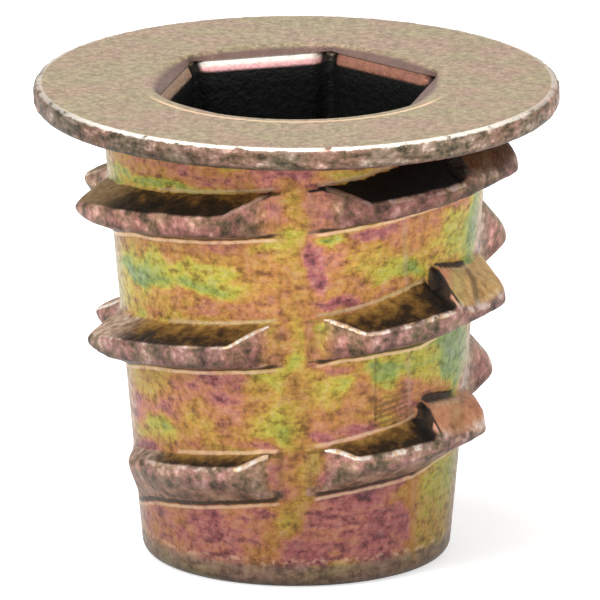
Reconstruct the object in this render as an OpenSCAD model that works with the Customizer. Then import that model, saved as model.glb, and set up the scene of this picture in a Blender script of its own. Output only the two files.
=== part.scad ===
// Flanged hex-drive threaded insert for wood: one die casting with a coarse, interrupted
// outer thread on a tapered body, a hex socket in its head and a machine-thread bore through it.
// It stands on its narrow tip at z = 0. The +Z axis runs along the bore towards the flange.

/* [Flange] */
// Outside diameter of the flange
flange_d = 17.4; // [16.4:0.1:22]
// Thickness of the flange
flange_t = 0.78; // [0.62:0.02:1.4]
// Rounding of the flange's upper rim
flange_top_round = 0.24; // [0.1:0.02:0.3]
// Rounding of the flange's lower rim
flange_under_round = 0.26; // [0.1:0.02:0.3]
// Diameter of the shallow dish around the socket mouth
dish_d = 9.7; // [9.6:0.1:11]
// Depth of that dish
dish_depth = 0.22; // [0.06:0.02:0.3]

/* [Body] */
// Overall length, flange included
overall_l = 16; // [14:0.1:20]
// Diameter that the taper reaches at the tip
tip_d = 10.15; // [9.6:0.05:11]
// Half-angle of the body's taper, in degrees
taper_angle = 5.2; // [3:0.1:6]
// Rounding of the tip's outer edge
tip_round = 0.42; // [0.2:0.02:0.6]

/* [Hex socket] */
// Width across the socket's flats
hex_af = 8; // [7.6:0.05:8.4]
// Depth of the socket below the flange
hex_depth = 5.4; // [3:0.1:7]
// Turn of the socket's corners about the axis, in degrees
hex_turn = 16.4; // [0:0.1:60]
// Width of the bevel at the socket's mouth
hex_bevel = 0.18; // [0.1:0.02:0.3]
// Radius of the relief groove in each corner of the socket
corner_relief_r = 0.3; // [0.15:0.05:0.45]

/* [Bore] */
// Diameter of the bore, which is the minor diameter of its machine thread
bore_d = 6.65; // [6:0.05:7]
// Width of the bevel where the bore leaves the tip
bore_bevel = 0.6; // [0.2:0.05:0.8]
// Half-angle of the cone between socket and bore, in degrees
socket_floor_angle = 60; // [40:1:75]

/* [Outer thread] */
// Rise of the outer thread in one turn
thread_pitch = 4.57; // [4.3:0.01:5]
// Height of the lowest full turn at the front gullet
thread_z = 4.09; // [3.9:0.01:4.6]
// Height of the full ridge above the body
ridge_depth = 1.42; // [1:0.02:1.6]
// Height of the ridge above the body where the thread starts
ridge_start_depth = 0.42; // [0.3:0.02:1]
// Width of the ridge where it meets the body
ridge_root_w = 1.64; // [1.3:0.02:2]
// Width of the flat along the ridge's crest
ridge_crest_w = 0.58; // [0.3:0.02:0.8]
// Rise of the crest above the middle of the root
crest_rise = 0.02; // [0:0.01:0.2]
// Rise of the crest's lower edge where the thread starts
start_crest_rise = 0.4; // [0:0.05:0.5]
// Drop of the root's lower edge where the thread starts
start_root_drop = 0.2; // [0:0.05:0.3]
// Turn over which the ridge grows to its full depth, in degrees
start_run = 220; // [90:10:270]

/* [Gullets] */
// Half-width of the plain strip between two ridges, in degrees
gullet_half = 6.2; // [4:0.1:8]
// Angle from a strip's middle at which the ridge has its full depth, in degrees
gullet_full = 18.5; // [14:0.5:24]
// How far the left strip lies behind the left side, in degrees
left_gullet_shift = 2.5; // [0:0.5:4]
// Lift of the rear half's ridges, a mismatch between the die's halves
rear_lift = 0.22; // [0:0.02:0.4]

/* [Parting planes] */
// Angle of the die's parting plane from the front strip, in degrees
parting_angle = 45; // [40:1:50]
// Swelling of the ridge's upper root after the parting plane
swell_above_after = 0.8; // [0:0.05:1]
// Swelling of the ridge's upper root before the parting plane
swell_above_before = 0.3; // [0:0.05:0.6]
// Swelling of the ridge's lower root at the parting plane
swell_below = 0.45; // [0:0.05:0.5]
// Swelling of the crest's upper edge before the parting plane
swell_crest = 0.26; // [0:0.02:0.3]
// Angle over which the swellings fade, in degrees
swell_fade = 28; // [15:1:35]

/* [Hidden] */

flange_bottom_z = overall_l - flange_t;
socket_mouth_z = overall_l - dish_depth;
socket_floor_z = overall_l - hex_depth;
hex_corner_r = hex_af / 2 / cos(30);
bevelled_corner_r = (hex_af / 2 + hex_bevel) / cos(30);
floor_cone_h = (hex_af - bore_d) / 2 / tan(socket_floor_angle);

gullets_per_turn = 4;
lobe_pitch = 360 / gullets_per_turn;    // angle between two gullets
first_lobe = -1;                        // the thread starts one lobe before the front strip
last_lobe = floor((flange_bottom_z - thread_z) / thread_pitch * gullets_per_turn) - 1;
lobe_stations = 26;                     // sections along the full-depth part of a lobe
root_sink = 0.35;                       // how deep a ridge is rooted inside the body
past_gullet = 2;                        // how far a ridge's buried end reaches into a gullet
cut_clearance = 1;                      // how far a cut runs past the face it opens
round_facets = 6;                       // facets along each rounded edge
fine = 96;

// Body radius at a height
function body_r(z) = tip_d / 2 + z * tan(taper_angle);

// Points of a rounded edge in a profile, from one angle to the other
function edge_arc(r, cx, cz, from, to) =
    [for (i = [0:round_facets]) let (a = from + (to - from) * i / round_facets)
        [cx + r * cos(a), cz + r * sin(a)]];

// An angle along the thread is counted from the front strip, anticlockwise from above
function ridge_z(t) = thread_z + thread_pitch * t / 360 + (cos(t) < 0 ? rear_lift : 0);
function start_share(t) = max(0, 1 - (t - first_lobe * lobe_pitch) / start_run);
function ridge_h(t) = ridge_depth + (ridge_start_depth - ridge_depth) * start_share(t);
function crest_r(t) = body_r(ridge_z(t)) + ridge_h(t);

// Middle of a gullet, counted from the front one: the left one lies a little behind its side
function gullet_angle(i) =
    i * lobe_pitch - (sin(i * lobe_pitch) < -0.5 ? left_gullet_shift : 0);

// Angle from the nearest parting plane, between -90 and 90
function from_parting(t) =
    let (a = t - parting_angle + 90) a - 180 * floor(a / 180) - 90;
function fade_before(t) = let (a = from_parting(t)) a < 0 ? max(0, 1 + a / swell_fade) : 0;
function fade_after(t) = let (a = from_parting(t)) a < 0 ? 0 : max(0, 1 - a / swell_fade);

// Heights of the ridge's four edges above its middle
function root_top(t) = ridge_root_w / 2 + swell_above_before * fade_before(t)
    + swell_above_after * fade_after(t);
function root_bottom(t) = -ridge_root_w / 2 - start_root_drop * start_share(t)
    - swell_below * max(fade_before(t), fade_after(t)) * (1 - start_share(t));
function crest_top(t) = crest_rise + ridge_crest_w / 2 + swell_crest * fade_before(t)
    + start_crest_rise / 2 * start_share(t);
function crest_bottom(t) = crest_rise - ridge_crest_w / 2 + start_crest_rise * start_share(t);

// Radius at which the flat end of a ridge, cut off towards a gullet, meets an angle
function end_cut_r(t, gullet, side) =
    let (full = gullet + side * gullet_full,
         foot_r = body_r(ridge_z(gullet + side * gullet_half)),
         full_r = crest_r(full),
         a = abs(t - gullet))
    foot_r * full_r * sin(gullet_full - gullet_half)
        / (foot_r * sin(a - gullet_half) + full_r * sin(gullet_full - a));

// Outer radius of a lobe, between the gullets at angles a and b
function lobe_r(t, a, b) =
    t < a + gullet_full ? end_cut_r(t, a, 1)
    : t > b - gullet_full ? end_cut_r(t, b, -1)
    : crest_r(t);

// One section of a lobe: inner bottom, outer bottom, outer top, inner top
function lobe_section(t, a, b) =
    let (z = ridge_z(t),
         foot_r = body_r(z),
         outer_r = lobe_r(t, a, b),
         inner_r = foot_r - root_sink,
         outer_share = (outer_r - foot_r) / ridge_h(t),
         inner_share = (inner_r - foot_r) / ridge_h(t),
         low = function (share) z + root_bottom(t) + (crest_bottom(t) - root_bottom(t)) * share,
         high = function (share) z + root_top(t) + (crest_top(t) - root_top(t)) * share)
    [for (p = [[inner_r, low(inner_share)], [outer_r, low(outer_share)],
               [outer_r, high(outer_share)], [inner_r, high(inner_share)]])
        [p[0] * sin(t), -p[0] * cos(t), p[1]]];

// Angles of a lobe's sections: a buried end, the flat end cut, the full ridge, the same again
function lobe_angles(a, b) =
    let (from = a + gullet_full, to = b - gullet_full, cut = gullet_full - gullet_half)
    concat(
        [a + gullet_half - past_gullet],
        [for (i = [0:2]) a + gullet_half + cut * i / 3],
        [for (i = [0:lobe_stations]) from + (to - from) * i / lobe_stations],
        [for (i = [1:3]) to + cut * i / 3],
        [b - gullet_half + past_gullet]);

// One lobe of the outer thread, between two gullets
module thread_lobe(index) {
    a = gullet_angle(index);
    b = gullet_angle(index + 1);
    angles = lobe_angles(a, b);
    last = len(angles) - 1;
    points = [for (t = angles) each lobe_section(t, a, b)];
    sides = [for (i = [0:last - 1], k = [0:3])
        let (p = 4 * i + k, q = 4 * i + (k + 1) % 4)
        each [[p, q, q + 4], [p, q + 4, p + 4]]];
    ends = [[3, 2, 1, 0], [for (k = [0:3]) 4 * last + k]];
    polyhedron(points, concat(sides, ends), convexity = 4);
}

// Tapered body with its rounded tip
module body_blank() {
    rotate_extrude($fn = fine)
        polygon(concat(
            [[0, 0]],
            edge_arc(tip_round, body_r(tip_round) - tip_round, tip_round, -90, 0),
            [[body_r(flange_bottom_z), flange_bottom_z],
             [body_r(flange_bottom_z), flange_bottom_z + flange_t / 2],
             [0, flange_bottom_z + flange_t / 2]]));
}

// Flange with both rims rounded and a shallow dish around the socket
module flange() {
    rim_r = flange_d / 2;
    rotate_extrude($fn = fine)
        polygon(concat(
            [[0, flange_bottom_z]],
            edge_arc(flange_under_round, rim_r - flange_under_round,
                flange_bottom_z + flange_under_round, -90, 0),
            edge_arc(flange_top_round, rim_r - flange_top_round,
                overall_l - flange_top_round, 0, 90),
            [[dish_d / 2, overall_l], [hex_corner_r, socket_mouth_z], [0, socket_mouth_z]]));
}

// Hex socket with a bevelled mouth, relieved corners and a conical floor
module socket_cut() {
    rotate(hex_turn) {
        translate([0, 0, socket_floor_z])
            cylinder(r = hex_corner_r, h = hex_depth + cut_clearance, $fn = 6);
        translate([0, 0, socket_mouth_z - hex_bevel])
            cylinder(r1 = hex_corner_r, r2 = bevelled_corner_r, h = hex_bevel, $fn = 6);
        translate([0, 0, socket_mouth_z])
            cylinder(r = bevelled_corner_r, h = dish_depth + cut_clearance, $fn = 6);
        for (i = [0:5])
            rotate(60 * i)
                translate([hex_corner_r - corner_relief_r / 2, 0, socket_floor_z])
                    cylinder(r = corner_relief_r, h = hex_depth + cut_clearance, $fn = 24);
    }
    translate([0, 0, socket_floor_z - floor_cone_h])
        cylinder(d1 = bore_d, d2 = hex_af, h = floor_cone_h, $fn = fine);
}

// Bore for the machine thread, bevelled where it leaves the tip
module bore_cut() {
    translate([0, 0, -cut_clearance])
        cylinder(d = bore_d, h = socket_floor_z + cut_clearance, $fn = fine);
    translate([0, 0, -bore_bevel])
        cylinder(d1 = bore_d + 4 * bore_bevel, d2 = bore_d, h = 2 * bore_bevel, $fn = fine);
}

module insert() {
    color("darkkhaki")
        difference() {
            union() {
                body_blank();
                flange();
                for (i = [first_lobe:last_lobe]) thread_lobe(i);
            }
            socket_cut();
            bore_cut();
        }
}

insert();
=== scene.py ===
import math

import bmesh
import bpy
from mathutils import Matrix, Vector, noise


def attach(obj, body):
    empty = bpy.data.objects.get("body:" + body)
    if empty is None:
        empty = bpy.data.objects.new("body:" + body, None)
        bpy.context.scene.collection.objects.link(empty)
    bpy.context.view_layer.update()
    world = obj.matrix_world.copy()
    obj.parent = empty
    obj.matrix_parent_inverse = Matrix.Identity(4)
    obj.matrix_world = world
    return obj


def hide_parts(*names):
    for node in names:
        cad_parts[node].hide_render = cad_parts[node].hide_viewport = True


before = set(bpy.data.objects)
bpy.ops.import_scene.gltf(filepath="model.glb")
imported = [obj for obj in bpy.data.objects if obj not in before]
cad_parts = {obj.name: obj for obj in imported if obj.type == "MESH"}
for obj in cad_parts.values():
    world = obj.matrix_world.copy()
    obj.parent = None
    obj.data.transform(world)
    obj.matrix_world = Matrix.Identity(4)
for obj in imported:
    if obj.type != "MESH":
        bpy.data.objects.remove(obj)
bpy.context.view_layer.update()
mm = 0.001      # sizes are in mm, and the scene is in metres


class Wire:
    # an output socket that takes part in sums: Math for numbers, Vector Math where a side is a vector
    def __init__(self, bench, socket):
        self.bench, self.socket = bench, socket
        self.vector = socket.type in ("VECTOR", "RGBA")

    def join(self, operation, other, swapped=False):
        vector = self.vector or getattr(other, "vector", False)
        kind = "ShaderNodeVectorMath" if vector else "ShaderNodeMath"
        pair = (other, self) if swapped else (self, other)
        return self.bench.add(kind, {"operation": operation}, dict(enumerate(pair)))

    def __add__(self, other):
        return self.join("ADD", other)

    def __radd__(self, other):
        return self.join("ADD", other, True)

    def __sub__(self, other):
        return self.join("SUBTRACT", other)

    def __rsub__(self, other):
        return self.join("SUBTRACT", other, True)

    def __mul__(self, other):
        return self.join("MULTIPLY", other)

    def __rmul__(self, other):
        return self.join("MULTIPLY", other, True)

    def __truediv__(self, other):
        return self.join("DIVIDE", other)

    def __rtruediv__(self, other):
        return self.join("DIVIDE", other, True)

    def __neg__(self):
        return self * -1.0

    def __abs__(self):
        return self.bench.math("ABSOLUTE", self)


class Bench:
    # builds the nodes of one tree
    def __init__(self, tree):
        self.tree = tree

    def add(self, kind, settings=None, sockets=None, out=0):
        # settings come first, since they decide which sockets there are; stops are a ramp's;
        # out is the output that is wanted, or a list of several
        node = self.tree.nodes.new(kind)
        for name, value in (settings or {}).items():
            if name == "stops":
                self.setStops(node.color_ramp, value)
            else:
                setattr(node, name, value)
        for name, value in (sockets or {}).items():
            self.feed(node.inputs[name], value)
        if isinstance(out, (list, tuple)):
            return [Wire(self, node.outputs[name]) for name in out]
        return Wire(self, node.outputs[out]) if len(node.outputs) else node

    def feed(self, socket, value):
        if isinstance(value, Wire):
            self.tree.links.new(value.socket, socket)
        elif isinstance(value, (int, float)) and socket.type in ("VECTOR", "RGBA"):
            socket.default_value = [value] * len(socket.default_value)
        else:
            socket.default_value = value

    def setStops(self, ramp, stops):
        while len(ramp.elements) < len(stops):
            ramp.elements.new(0.5)
        for element, (place, colour) in zip(ramp.elements, stops):
            element.position = place
            element.color = (*colour, 1.0)

    def math(self, operation, *values):
        return self.add("ShaderNodeMath", {"operation": operation}, dict(enumerate(values)))

    def step(self, value, low, high):
        # 0 below low, 1 above high, smooth between
        settings = {"interpolation_type": "SMOOTHSTEP"}
        return self.add("ShaderNodeMapRange", settings, {0: value, 1: low, 2: high})

    def clamp(self, value, low=0.0, high=1.0):
        return self.add("ShaderNodeClamp", {}, {0: value, 1: low, 2: high})

    def mix(self, share, a, b):
        # numbers only
        return self.add("ShaderNodeMix", {"data_type": "FLOAT"}, {0: share, 2: a, 3: b})

    def tint(self, share, a, b, blend="MIX"):
        # colours only
        settings = {"data_type": "RGBA", "blend_type": blend}
        return self.add("ShaderNodeMix", settings, {0: share, 6: asColour(a), 7: asColour(b)}, out=2)

    def dye(self, colour, dye):
        return self.tint(1.0, colour, dye, "MULTIPLY")

    def split(self, vector):
        return self.add("ShaderNodeSeparateXYZ", {}, {0: vector}, out=[0, 1, 2])

    def noise(self, place, scale, detail=2.0, rough=0.5):
        sockets = {"Vector": place, "Scale": scale, "Detail": detail, "Roughness": rough}
        return self.add("ShaderNodeTexNoise", {"noise_dimensions": "3D"}, sockets)


def asColour(value):
    return value if isinstance(value, Wire) else (*value, 1.0)


camera = {
    "elevation": 15.48,      # degrees above the horizon
    "distance": 0.88,        # near enough for a view from any side
    "aim": 8.0 * mm,         # height of the point that it looks at
    "frame": 600,            # width and height of the render in pixels
    "scale": 30.165,         # pixels to a mm at the insert
    "aimAt": (296.46, 314.49),   # where that point lies in the render, from its upper left
    "sensor": 36,
    "clipEnd": 20,
}


def placeCamera(s):
    data = bpy.data.cameras.new("camera")
    eye = bpy.data.objects.new("camera", data)
    bpy.context.collection.objects.link(eye)
    tilt, away = math.radians(s["elevation"]), s["distance"]
    eye.location = (0, -away * math.cos(tilt), s["aim"] + away * math.sin(tilt))
    eye.rotation_euler = (math.pi / 2 - tilt, 0, 0)
    data.sensor_width = s["sensor"]
    data.lens = s["sensor"] * away / (s["frame"] / s["scale"] * mm)
    data.shift_x = (s["frame"] / 2 - s["aimAt"][0]) / s["frame"]
    data.shift_y = (s["aimAt"][1] - s["frame"] / 2) / s["frame"]
    data.clip_end = s["clipEnd"]
    bpy.context.scene.camera = eye


placeCamera(camera)
print("camera placed")

# the blank is the turned form that the ridges, the socket and the thread are worked into
blank = {
    "length": 16.0,
    "tipRadius": 5.075,
    "taper": 0.0911,         # growth of the body's radius per mm of height
    "tipRound": 0.42,
    "flangeRadius": 8.7,
    "flangeThick": 0.78,
    "topRound": 0.24,
    "underRound": 0.26,
    "outerColumns": 376,
    "innerColumns": 180,
    "bodyRow": 0.09,         # spacing of the rows along the body
    "neckRow": 0.055,        # and nearer the flange, where they fan out
    "neckZ": 13.6,
    "seatGap": 0.03,         # from the body's last row to the flange's seat
    "dishRadius": 4.85,
    "dishDepth": 0.22,
    "hexFlats": 8.0,
    "hexBevel": 0.18,
    "hexDepth": 5.4,
    "floorCone": 0.39,
    "boreRadius": 3.325,
    "boreBevel": 0.6,
    "threadRow": 0.139,      # spacing of the rows along the bore, nine to a pitch of 1.25
}
zones = {"plain": 0, "body": 1, "under": 2, "dish": 3, "hex": 4, "floor": 5, "bore": 6}


def bodyRadius(z):
    return blank["tipRadius"] + blank["taper"] * z


def arcRows(zone, r, centreR, centreZ, start, end, steps):
    # rows round a rounding of radius r, between two angles
    rows = []
    for i in range(steps + 1):
        a = math.radians(start + (end - start) * i / steps)
        rows.append((zone, centreR + r * math.cos(a), centreZ + r * math.sin(a), 0.0))
    return rows


def evenSteps(start, end, spacing):
    count = max(1, round(abs(end - start) / spacing))
    return [start + (end - start) * i / count for i in range(count + 1)]


def outerRows():
    # from the tip's end face up the body and over the flange; a row is zone, radius, height, share
    s = blank
    seatZ = s["length"] - s["flangeThick"]
    tip = s["tipRound"]
    rows = [("plain", 4.2, 0.0, 0.0), ("plain", 4.45, 0.0, 0.0)]
    rows += arcRows("plain", tip, bodyRadius(tip) - tip, tip, -90, 0, 7)[:-1]
    heights = evenSteps(tip, s["neckZ"], s["bodyRow"])
    heights += evenSteps(s["neckZ"], seatZ - s["seatGap"], s["neckRow"])[1:]
    rows += [("body", bodyRadius(z), z, 0.0) for z in heights]
    rimIn = s["flangeRadius"] - s["underRound"]
    for share in (0.03, 0.12, 0.3, 0.5, 0.7, 0.86):
        rows.append(("under", rimIn, seatZ, share))
    rows += arcRows("plain", s["underRound"], rimIn, seatZ + s["underRound"], -90, 0, 5)
    top = s["flangeRadius"] - s["topRound"]
    rows += arcRows("plain", s["topRound"], top, s["length"] - s["topRound"], 0, 90, 5)
    for r in (8.2, 7.8, 7.3, 6.8, 6.3, 5.8, 5.45):
        rows.append(("plain", r, s["length"], 0.0))
    return rows


def innerRows():
    # from the flange's top into the socket and down the bore to the tip's end face
    s = blank
    ledge = s["length"] - s["dishDepth"]
    floor = s["length"] - s["hexDepth"]
    rows = [("plain", 5.15, s["length"], 0.0)]
    for share in (0.0, 0.08, 0.3, 0.6, 0.9, 1.0):
        rows.append(("dish", s["dishRadius"], ledge, share))
    flat, mouth = s["hexFlats"] / 2, s["hexFlats"] / 2 + s["hexBevel"]
    # down the bevel at the mouth: half of the distance between flats, and the depth below the ledge
    for half, deep in ((mouth - 0.02, 0.04), (mouth - 0.09, 0.16), (flat + 0.02, 0.29), (flat, 0.36)):
        rows.append(("hex", half, ledge - deep, 0.0))
    rows += [("hex", flat, z, 0.0) for z in evenSteps(ledge - 0.9, floor + 0.06, 0.7)]
    for share in (0.0, 0.5, 0.9, 1.0):
        rows.append(("floor", s["boreRadius"], floor, share))
    boreTop = floor - s["floorCone"] - 0.05
    rows += [("bore", s["boreRadius"], z, 0.0) for z in evenSteps(boreTop, s["boreBevel"], s["threadRow"])]
    for share in (0.25, 0.5, 0.75, 1.0):
        z = s["boreBevel"] * (1 - share)
        rows.append(("bore", s["boreRadius"] + s["boreBevel"] * share, z, 0.0))
    return rows


def ringOf(mesh, layers, row, columns):
    zone, r, z, share = row
    ring = []
    for i in range(columns):
        a = 2 * math.pi * i / columns
        vert = mesh.verts.new((r * math.sin(a), -r * math.cos(a), z))
        vert[layers["zone"]], vert[layers["share"]] = zones[zone], share
        ring.append(vert)
    return ring


def stitch(mesh, low, high):
    # joins two rings, also where one has more columns than the other
    i, j = 0, 0
    while i < len(low) or j < len(high):
        a, b = low[i % len(low)], high[j % len(high)]
        c, d = low[(i + 1) % len(low)], high[(j + 1) % len(high)]
        nextLow, nextHigh = (i + 1) / len(low), (j + 1) / len(high)
        if abs(nextLow - nextHigh) < 1e-9:
            mesh.faces.new((a, c, d, b))
            i, j = i + 1, j + 1
        elif nextLow < nextHigh:
            mesh.faces.new((a, c, b))
            i += 1
        else:
            mesh.faces.new((a, d, b))
            j += 1


def makeBlank():
    # a ring of rings: the last row of the bore joins the first of the tip's end face
    mesh = bmesh.new()
    layers = {"zone": mesh.verts.layers.int.new("zone"), "share": mesh.verts.layers.float.new("share")}
    rings = [ringOf(mesh, layers, row, blank["outerColumns"]) for row in outerRows()]
    rings += [ringOf(mesh, layers, row, blank["innerColumns"]) for row in innerRows()]
    for low, high in zip(rings, rings[1:] + rings[:1]):
        stitch(mesh, low, high)
    data = bpy.data.meshes.new("insertBody")
    mesh.to_mesh(data)
    mesh.free()
    data.shade_smooth()
    piece = bpy.data.objects.new("insertBody", data)
    bpy.context.collection.objects.link(piece)
    return piece


# the casting is the rule that turns the blank into the finished form; lengths in mm, angles in degrees
casting = {
    "Pitch": 4.57,
    "Thread height": 4.09,       # of the lowest full turn at the front strip
    "First angle": -92.5,        # where the thread starts near the tip, and where it ends
    "Last angle": 810.0,
    "Ridge depth": 1.42,
    "Start depth": 0.42,
    "Start run": 220.0,
    "Root above": 0.82,
    "Root below": 0.82,
    "Crest above": 0.31,
    "Crest below": 0.36,
    "Parting angle": 45.0,
    "Parting reach": 28.0,       # how far from the parting plane the ridge changes
    "Parting end": 14.0,         # and how far past it the crest still falls
    "Root rise": 0.36,           # how far the upper root climbs towards the parting plane
    "Crest drop": 0.2,           # and how far the crest's upper edge falls there
    "Middle height": 9.2,        # the turn at this height hardly falls
    "Side narrowing": 0.2,       # loss of the crest's upper edge next to the side strips
    "Side depth": 0.13,          # and what the ridge gains there outwards
    "Side sag": 0.22,            # and downwards
    "Swell below": 0.3,
    "Facet turn": 16.0,          # where past the parting plane the first facet faces
    "Side facet turn": 31.0,
    "Facet drop": 0.1,
    "Side facet drop": -0.25,
    "Facet run": 1.2,            # height a facet takes to come in by 1 mm
    "Side facet run": 0.7,
    "Step slant": 2.3,           # degrees that the step beside the facets leans
    "Lip": 0.22,                 # thickness of the facets' thin lip over the body
    "Lip height": 1.55,
    "Rear flank": 1.45,          # height at which the flank behind the side strip meets the body
    "Strip half": 6.2,           # half of the plain strip between two ridges
    "Strip full": 18.5,          # where the cut face at a ridge's end reaches full depth
    "Left strip shift": 2.5,
    "Channel half": 3.2,         # bottom of the strip, between the low feet of the ridge ends
    "Channel shift": 0.75,
    "Channel foot": 0.12,
    "Rear lift": 0.1,            # the ridges behind stand this much higher
    "Rear right lift": 0.23,     # and on the right this much more
    "Edge round": 0.2,
    "Side round": 0.75,
    "Foot round": 0.14,
    "Lump size": 0.05,
    "Skin": 0.03,                # unevenness of the plain land
    "Rim chips": 0.14,
    "Seam place": 3.93,          # distance of the parting line from the middle, at the tip
    "Seam lean": 0.028,
    "Seam height": 0.03,
    "Panel left": 2.54,          # stepped panel beside the parting line
    "Panel right": 3.7,
    "Panel top": 8.05,
    "Panel bottom": 5.5,
    "Panel depth": 0.05,
    "Terrace top": 6.5,
    "Terrace step": 0.21,
    "Terrace rise": 0.035,
    "Hex turn": 46.4,
    "Corner relief": 0.3,
    "Machine pitch": 1.25,
    "Machine depth": 0.62,
}


def buildCastingTree(sizes):
    tree = bpy.data.node_groups.new("castingRule", "GeometryNodeTree")
    face = tree.interface
    face.new_socket("Geometry", in_out="INPUT", socket_type="NodeSocketGeometry")
    face.new_socket("Geometry", in_out="OUTPUT", socket_type="NodeSocketGeometry")
    for name in sizes:
        face.new_socket(name, in_out="INPUT", socket_type="NodeSocketFloat")
    face.new_socket("Material", in_out="INPUT", socket_type="NodeSocketMaterial")
    b = Bench(tree)
    blankForm, material, *inputs = b.add("NodeGroupInput", out=["Geometry", "Material", *sizes])
    size = dict(zip(sizes, inputs))

    # where each point is: angle from the front strip, height and radius, in degrees and mm
    place = b.add("GeometryNodeInputPosition")
    x, y, z = b.split(place)
    angle = b.math("DEGREES", b.math("ARCTAN2", x, -y))
    radius = b.math("SQRT", x * x + y * y)
    zone = b.add("GeometryNodeInputNamedAttribute", {"data_type": "INT"}, {"Name": "zone"})
    share = b.add("GeometryNodeInputNamedAttribute", {"data_type": "FLOAT"}, {"Name": "share"})

    def inZone(name):
        return b.math("COMPARE", zone, zones[name], 0.1)

    def sine(degrees):
        return b.math("SINE", b.math("RADIANS", degrees))

    def cosine(degrees):
        return b.math("COSINE", b.math("RADIANS", degrees))

    lumps = b.noise(place, 1.5, 2.0) - 0.5
    fine = b.noise(place, 4.5, 3.0) - 0.5
    rag = lumps * 2.0 * size["Lump size"] + fine * size["Lump size"]

    # nearest plain strip, and how far the parting plane is
    aside = abs(angle)
    onRight, front = b.math("GREATER_THAN", x, 0.0), b.math("LESS_THAN", y, 0.0)
    rear = b.math("GREATER_THAN", aside, 90.5)
    toLeft = abs(angle + 90.0 + size["Left strip shift"])
    toSide = b.math("MINIMUM", abs(angle - 90.0), toLeft)
    strip = b.math("MINIMUM", toSide, b.math("MINIMUM", aside, 180.0 - aside))
    toMiddle = b.math("MINIMUM", abs(angle + size["Channel shift"]), 180.0 - aside)
    toChannel = b.math("MINIMUM", toSide, toMiddle)
    nearSide = 1.0 - b.step(toSide, 12.0, 34.0)
    parting = b.math("FLOORED_MODULO", angle - size["Parting angle"] + 90.0, 180.0) - 90.0
    ahead = b.math("LESS_THAN", parting, 0.0)
    fadeBefore = b.clamp(1.0 + parting / size["Parting reach"]) * ahead
    fadeAfter = b.clamp(1.0 - parting / size["Parting end"]) * (1.0 - ahead)
    middle = 1.0 - b.step(abs(z - size["Middle height"]), 2.2, 2.8)
    crestFall = size["Crest drop"] * (fadeBefore + fadeAfter) * (1.0 - 0.8 * middle)
    crestShift = -crestFall - size["Side narrowing"] * nearSide

    # the body's surface is worked out at the point's own height, or under the flange at the seat
    body, under = inZone("body"), inZone("under")
    seatZ = blank["length"] - blank["flangeThick"]
    lift = size["Rear lift"] + size["Rear right lift"] * onRight

    def nearest(height):
        # turn of the nearest ridge, and the height above its middle
        run = height - size["Thread height"] - lift * rear + rag
        turn = b.math("ROUND", run / size["Pitch"] - angle / 360.0)
        return turn, run - size["Pitch"] * (angle / 360.0 + turn)

    # the rows of the body climb with the thread, follow its crest, and drop back inside each plain strip
    drop = 3.5               # half of the drop's width, in degrees
    past = b.math("FLOORED_MODULO", angle + drop, 90.0)
    backInside = (drop + (90.0 - 2 * drop) / (2 * drop) * past) / 90.0
    climb = b.math("MINIMUM", (90.0 + drop - past) / 90.0, backInside)
    lowest, steady, top = blank["tipRound"], 2.0, seatZ - blank["seatGap"]
    hold = b.clamp((z - lowest) / (steady - lowest)) * b.clamp((top - z) / (top - blank["neckZ"]))
    z = z - climb * size["Pitch"] * 0.25 * hold * body
    follow = nearest(z)[1]
    z = z + crestShift * b.step(follow, -0.3, 0.3) * (1.0 - b.step(follow, 0.9, 2.2)) * hold * body

    height = b.mix(under, z, seatZ)
    turn, above = nearest(height)
    along = angle + turn * 360.0
    early = b.clamp(1.0 - (along - size["First angle"]) / size["Start run"])
    late = b.step(along, 700.0, 760.0)
    started = b.math("GREATER_THAN", along, size["First angle"])
    present = started * b.math("LESS_THAN", along, size["Last angle"])

    # the ridge's flanks, its crest and the flat cuts at its ends, each as a height over the body
    depth = size["Ridge depth"] - (size["Ridge depth"] - size["Start depth"]) * early
    depth = depth + size["Side depth"] * nearSide
    rootTop = size["Root above"] + size["Root rise"] * fadeBefore * onRight * (1.0 - 1.2 * early)
    crestTop = size["Crest above"] + crestShift + 0.2 * early
    swellBelow = b.clamp(1.0 - abs(parting) / size["Parting reach"]) * (1.0 - early) * (1.0 - 0.8 * late)
    rootLow = size["Root below"] + 0.2 * early + size["Swell below"] * swellBelow
    rootLow = rootLow + size["Side sag"] * nearSide
    crestLow = size["Crest below"] - 0.4 * early + nearSide * b.mix(onRight, -0.2, size["Side sag"])
    upper = (rootTop - above) / (rootTop - crestTop) * depth
    lower = (rootLow + above) / (rootLow - crestLow) * depth
    foot = blank["tipRadius"] + blank["taper"] * (height - above)
    full = foot + depth
    span = size["Strip full"] - size["Strip half"]
    cutLine = foot * sine(strip - size["Strip half"]) + full * sine(size["Strip full"] - strip)
    endCut = foot * full * sine(span) / cutLine - foot + rag * 0.5
    footEdge = size["Channel half"]
    endFoot = size["Channel foot"] * b.step(toChannel, footEdge - 0.5, footEdge + 1.2)
    onFoot = b.math("GREATER_THAN", endFoot + 0.03, endCut)
    endCut = b.math("MAXIMUM", endCut, endFoot)

    # past the right parting plane the upper flank is two flat facets, from a slanted step up to a small
    # lip, and behind the side strip one gentle flank
    level = above + size["Pitch"] / 360.0 * (parting - size["Facet turn"])
    stepAt = size["Step slant"] * b.clamp((1.4 - level) / 1.3) - 0.4 - 3.0 * early
    pastStep = b.step(parting - stepAt, -0.5, 0.5) * onRight

    def flatCut(kind, slower, higher):
        # height over the body of a flat facet; near the thread's start it is gentler and sits higher
        turn = size[kind + " turn"]
        reach = (foot + depth) * cosine(turn - size["Facet turn"])
        inward = (level + size[kind + " drop"] - higher * early) / (size[kind + " run"] + slower * early)
        return (reach - inward) / cosine(parting - turn) - foot - blank["taper"] * above

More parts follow.
